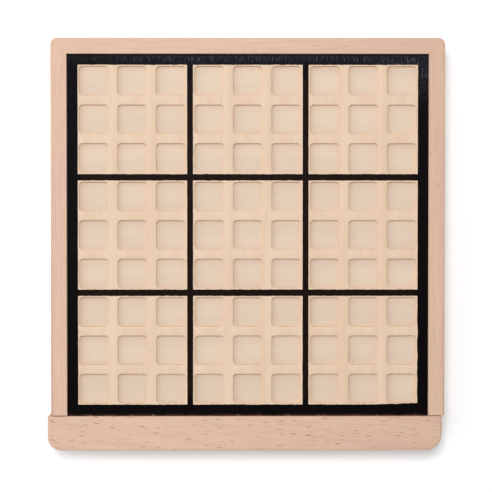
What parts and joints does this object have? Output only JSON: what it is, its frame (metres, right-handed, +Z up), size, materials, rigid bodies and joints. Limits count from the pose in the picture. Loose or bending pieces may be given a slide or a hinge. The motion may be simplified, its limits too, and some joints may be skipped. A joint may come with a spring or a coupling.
{
  "type": "sudoku board",
  "caption": "Square wooden game board with a grid of recessed tile pockets between bold black block lines, framed by rails, with a shallow front drawer for its number tiles.",
  "frame": {"origin": "under the middle of the closed board, on the plane that it lies on and on the play field's centre line", "axes": "+X to the right, +Y to the back rail, +Z up; the drawer pulls out along -Y"},
  "size_m": [0.2376, 0.2468, 0.03],
  "materials": {
    "beech": "sanded beech, matt",
    "face_ply": "pale plywood, bare",
    "plain_ply": "plywood, bare",
    "black_print": "matt black coat",
    "tray_wood": "planed pine, bare",
    "tile_wood": "sanded maple with dark numbers",
    "fastener_steel": "plain steel"
  },
  "bodies": {
    "board": {"left_rail": "beech", "right_rail": "beech", "back_rail": "beech", "base_panel": "plain_ply", "base_brads": "fastener_steel", "backing_sheet": "plain_ply", "face_sheet": "face_ply", "printed_grid": "black_print"},
    "drawer": {"front_bar": "beech", "front_screws": "fastener_steel", "tray_left_side": "tray_wood", "tray_right_side": "tray_wood", "tray_back": "tray_wood", "tray_inner_front": "tray_wood", "tray_base": "plain_ply", "tray_corner_brads": "fastener_steel", "tray_base_brads": "fastener_steel", "tiles_1": "tile_wood", "tiles_2": "tile_wood", "tiles_3": "tile_wood", "tiles_4": "tile_wood", "tiles_5": "tile_wood", "tiles_6": "tile_wood", "tiles_7": "tile_wood", "tiles_8": "tile_wood", "tiles_9": "tile_wood"}
  },
  "joints": [
    {"name": "drawer_slide", "type": "slide", "parent": "board", "child": "drawer", "axis": [0, -1, 0], "range_m": [0, 0.18]}
  ]
}
